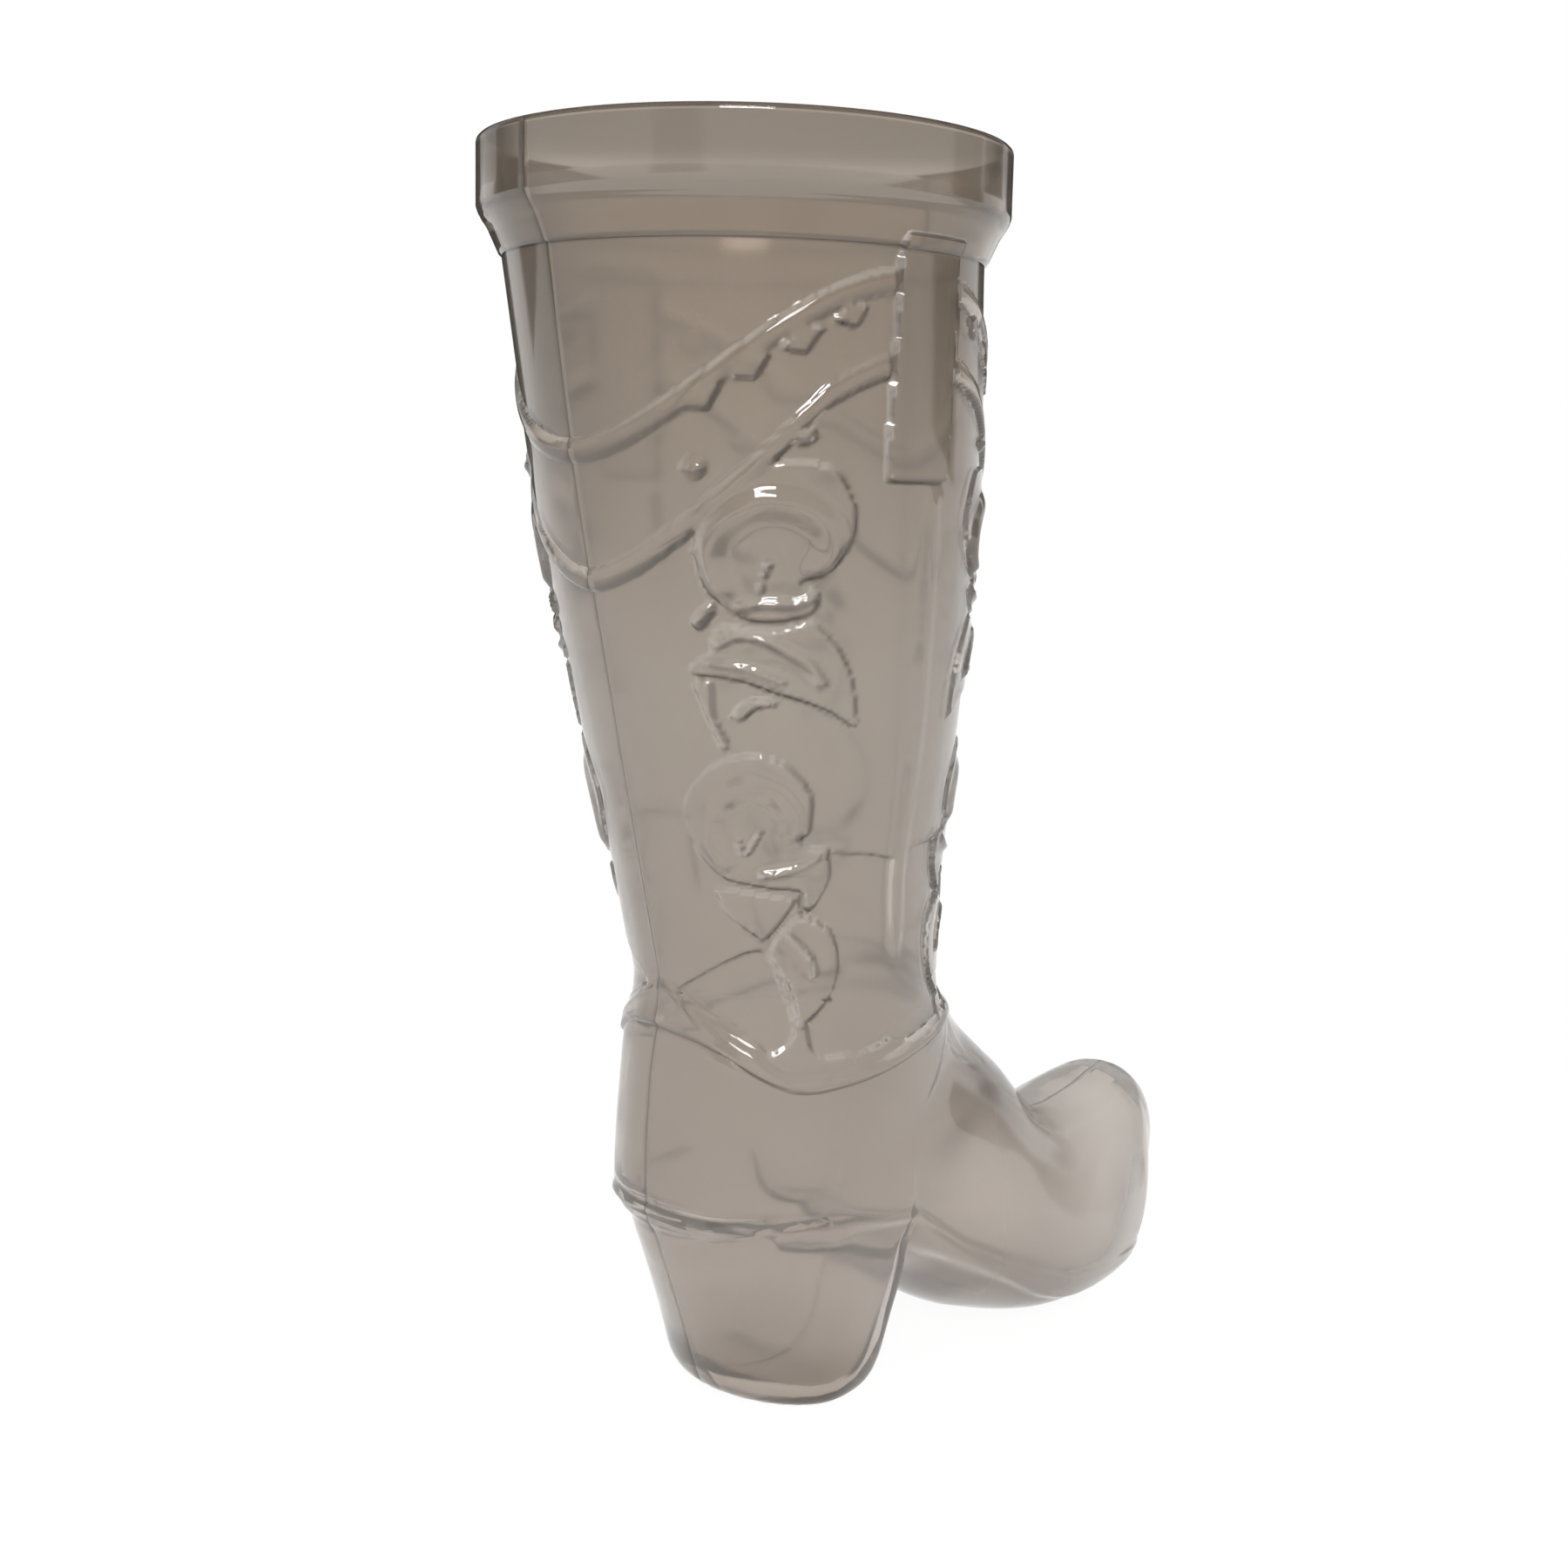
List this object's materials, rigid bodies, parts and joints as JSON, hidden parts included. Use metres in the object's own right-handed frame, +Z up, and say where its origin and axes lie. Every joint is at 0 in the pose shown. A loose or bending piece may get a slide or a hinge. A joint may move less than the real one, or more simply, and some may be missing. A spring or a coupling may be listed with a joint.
{
  "type": "boot-shaped drinking cup",
  "caption": "Clear smoke-tinted plastic drinking cup in the shape of a western boot, moulded as half shells that meet in a lapped seam along the middle plane",
  "frame": {"origin": "on the floor, under the middle of the whole box", "axes": "+X points to the toe, +Z up out of the mouth, +Y to the boot's left side; the seam lies in the plane y = 0"},
  "size_m": [0.1615, 0.091, 0.222],
  "materials": {
    "right_shell_plastic": "gloss, clear, smoke tint",
    "left_shell_plastic": "gloss, clear, smoke tint"
  },
  "bodies": {
    "root": {"right_half_shell": "right_shell_plastic", "left_half_shell": "left_shell_plastic"}
  },
  "joints": []
}
